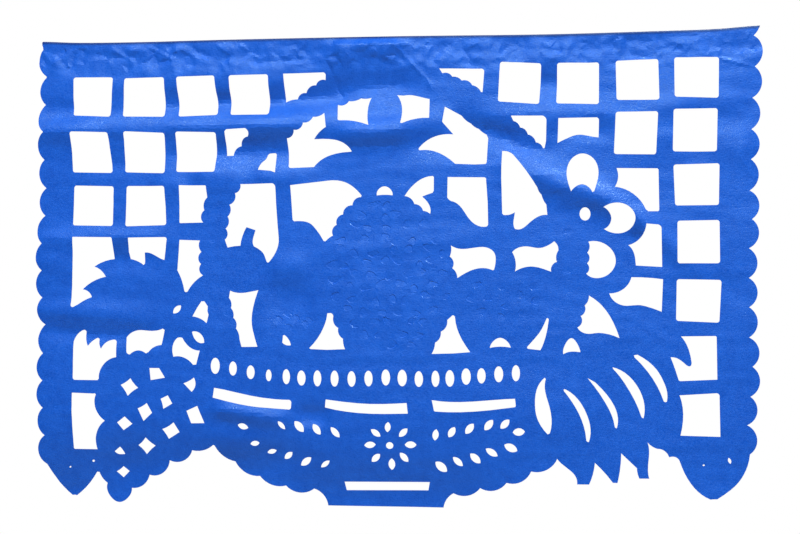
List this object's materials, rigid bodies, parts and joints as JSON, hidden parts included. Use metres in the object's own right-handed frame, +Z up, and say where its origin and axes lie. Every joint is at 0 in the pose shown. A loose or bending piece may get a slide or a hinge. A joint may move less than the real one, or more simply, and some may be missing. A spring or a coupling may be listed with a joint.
{
  "type": "papel picado banner",
  "caption": "Rectangular tissue paper banner cut with a basket of fruit in a lattice of open windows, scalloped down both sides, with a folded channel for a string along its top.",
  "frame": {"origin": "on the axis of the string channel at the middle of its length", "axes": "+X along the string channel to the banner's right as seen from the front, +Z up, the cut front faces -Y"},
  "size_m": [0.4731, 0.0022, 0.305],
  "materials": {
    "tissue": "matt dyed tissue paper, faintly crumpled"
  },
  "bodies": {
    "root": {"banner": "tissue"}
  },
  "joints": []
}
